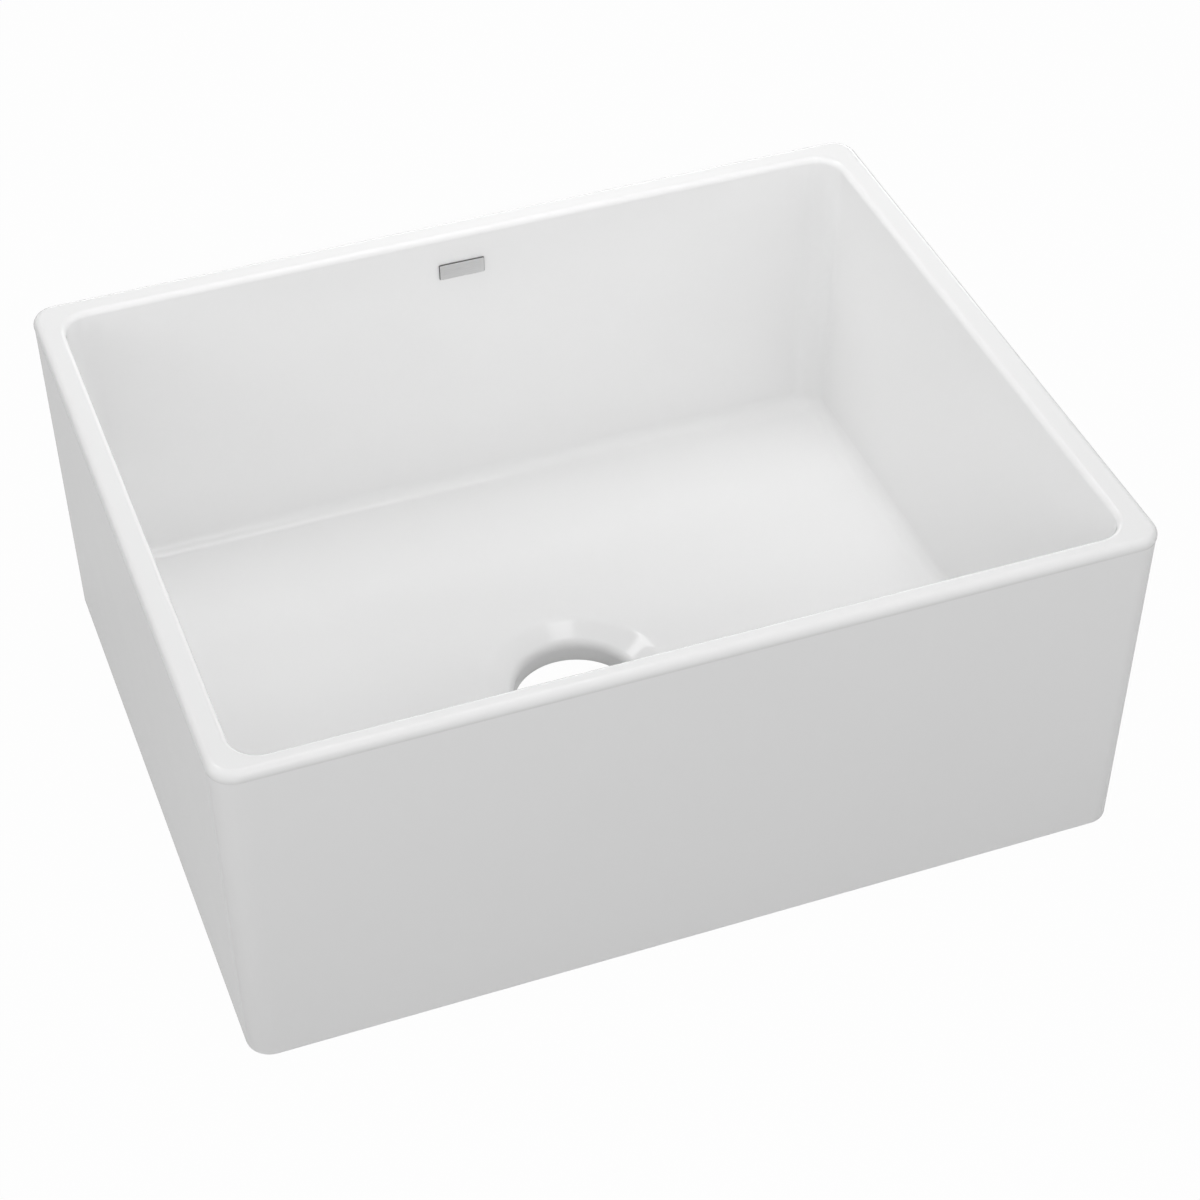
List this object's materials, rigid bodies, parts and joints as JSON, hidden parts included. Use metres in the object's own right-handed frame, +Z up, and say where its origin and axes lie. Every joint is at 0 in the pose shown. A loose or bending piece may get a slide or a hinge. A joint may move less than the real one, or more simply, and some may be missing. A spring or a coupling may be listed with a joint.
{
  "type": "farmhouse apron front sink",
  "caption": "Single-bowl glazed fireclay kitchen sink with a plain apron front, rolled rim, coved bowl, sloping floor with a dished drain hole, and a small blank badge plate.",
  "frame": {"origin": "on the base, at the centre of the outer width and depth at the rim", "axes": "+X along the width to the right seen from the apron, +Y from the apron to the back, +Z up"},
  "size_m": [0.619, 0.4954, 0.255],
  "materials": {
    "fireclay_glaze": "white glossy glaze over fired clay",
    "badge_metal": "satin metal plate with a bright edge",
    "foam_tape": "self-adhesive foam tape"
  },
  "bodies": {
    "root": {"sink_basin": "fireclay_glaze", "badge_plate": "badge_metal", "badge_adhesive_pad": "foam_tape"}
  },
  "joints": []
}
